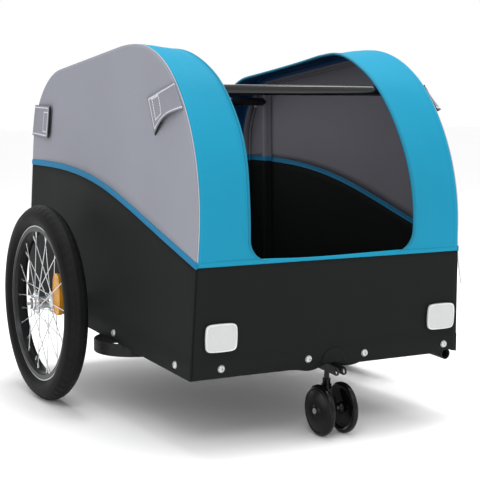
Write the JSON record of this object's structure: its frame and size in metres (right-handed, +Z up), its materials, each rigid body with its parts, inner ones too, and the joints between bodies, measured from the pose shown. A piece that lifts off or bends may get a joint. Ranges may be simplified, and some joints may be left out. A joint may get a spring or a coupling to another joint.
{
  "type": "child bicycle trailer",
  "caption": "Two-wheeled child bicycle trailer: an open fabric tub on a tube frame with spoked wheels, a swivelling twin caster, reflectors and tow hitch parts.",
  "frame": {"origin": "on the ground below the middle of the overall box", "axes": "-Y is the way the trailer faces, +X is its left-hand side seen from inside, +Z is up"},
  "size_m": [0.793, 0.8807, 0.7159],
  "materials": {
    "frame_black": "satin powder coat",
    "bar_metal": "gloss paint",
    "floor_cloth": "coated cloth over board",
    "cloth_grey": "coated plain weave",
    "cloth_black": "coated plain weave",
    "cloth_blue": "coated plain weave",
    "piping_blue": "bound tape",
    "label_white": "woven tape",
    "lens_clear": "prismatic",
    "lens_red": "prismatic",
    "lens_amber": "prismatic",
    "screw_steel": "zinc plated",
    "strap_black": "ribbed",
    "tyre_rubber": "moulded",
    "rim_black": "satin",
    "spoke_steel": "drawn wire",
    "hub_alloy": "polished",
    "valve_black": "moulded",
    "button_grey": "satin",
    "caster_black": "moulded"
  },
  "bodies": {
    "chassis": {"axle_cross_tube": "frame_black", "axle_pin_left": "hub_alloy", "axle_pin_right": "hub_alloy", "band_left": "cloth_blue", "band_right": "cloth_blue", "bar_bolts": "screw_steel", "bar_tabs_left": "cloth_grey", "bar_tabs_right": "cloth_grey", "crossbar_front": "bar_metal", "crossbar_rear": "bar_metal", "flag_sleeve": "cloth_black", "floor_panel": "floor_cloth", "front_cross_tube": "frame_black", "front_lower_panel": "cloth_black", "hitch_clevis": "frame_black", "hoop_left": "frame_black", "hoop_right": "frame_black", "panel_screws": "screw_steel", "piping_left": "piping_blue", "piping_right": "piping_blue", "post_left": "frame_black", "post_right": "frame_black", "rear_cross_tube": "frame_black", "rear_lower_panel": "cloth_black", "reflectors_front": "lens_clear", "reflectors_rear": "lens_red", "side_label": "label_white", "side_lower_left": "cloth_black", "side_lower_right": "cloth_black", "side_rail_left": "frame_black", "side_rail_right": "frame_black", "side_upper_left": "cloth_grey", "side_upper_right": "cloth_grey", "sill_strip_front": "cloth_blue", "sill_strip_rear": "cloth_blue", "stow_loop": "strap_black", "tow_socket": "frame_black", "wheel_socket_left": "frame_black", "wheel_socket_right": "frame_black"},
    "wheel_left": {"tyre_left": "tyre_rubber", "rim_left": "rim_black", "hub_left": "hub_alloy", "spokes_left": "spoke_steel", "spoke_reflector_left": "lens_amber", "valve_left": "valve_black"},
    "button_left": {"release_button_left": "button_grey"},
    "wheel_right": {"tyre_right": "tyre_rubber", "rim_right": "rim_black", "hub_right": "hub_alloy", "spokes_right": "spoke_steel", "spoke_reflector_right": "lens_amber", "valve_right": "valve_black"},
    "button_right": {"release_button_right": "button_grey"},
    "caster": {"caster_yoke": "caster_black", "stem_clip": "screw_steel", "caster_axle": "screw_steel"},
    "caster_roller_left": {"caster_wheel_left": "caster_black"},
    "caster_roller_right": {"caster_wheel_right": "caster_black"}
  },
  "joints": [
    {"name": "wheel_spin_right", "type": "hinge", "parent": "chassis", "child": "wheel_right", "pos_m": [-0.36, 0.13267, 0.2], "axis": [1, 0, 0], "continuous": true},
    {"name": "release_press_right", "type": "slide", "parent": "chassis", "child": "button_right", "axis": [1, 0, 0], "range_m": [0, 0.003], "stiffness_N_per_m": 600, "springref_m": -0.002},
    {"name": "wheel_spin_left", "type": "hinge", "parent": "chassis", "child": "wheel_left", "pos_m": [0.36, 0.13267, 0.2], "axis": [1, 0, 0], "continuous": true},
    {"name": "release_press_left", "type": "slide", "parent": "chassis", "child": "button_left", "axis": [-1, 0, 0], "range_m": [0, 0.003], "stiffness_N_per_m": 600, "springref_m": -0.002},
    {"name": "caster_swivel", "type": "hinge", "parent": "chassis", "child": "caster", "pos_m": [0, -0.37394, 0.04847], "axis": [0, -0.0511, 0.9987], "continuous": true},
    {"name": "caster_spin_right", "type": "hinge", "parent": "caster", "child": "caster_roller_right", "pos_m": [-0.0245, -0.39292, 0.0475], "axis": [1, 0, 0], "continuous": true},
    {"name": "caster_spin_left", "type": "hinge", "parent": "caster", "child": "caster_roller_left", "pos_m": [0.0245, -0.39292, 0.0475], "axis": [1, 0, 0], "continuous": true}
  ]
}
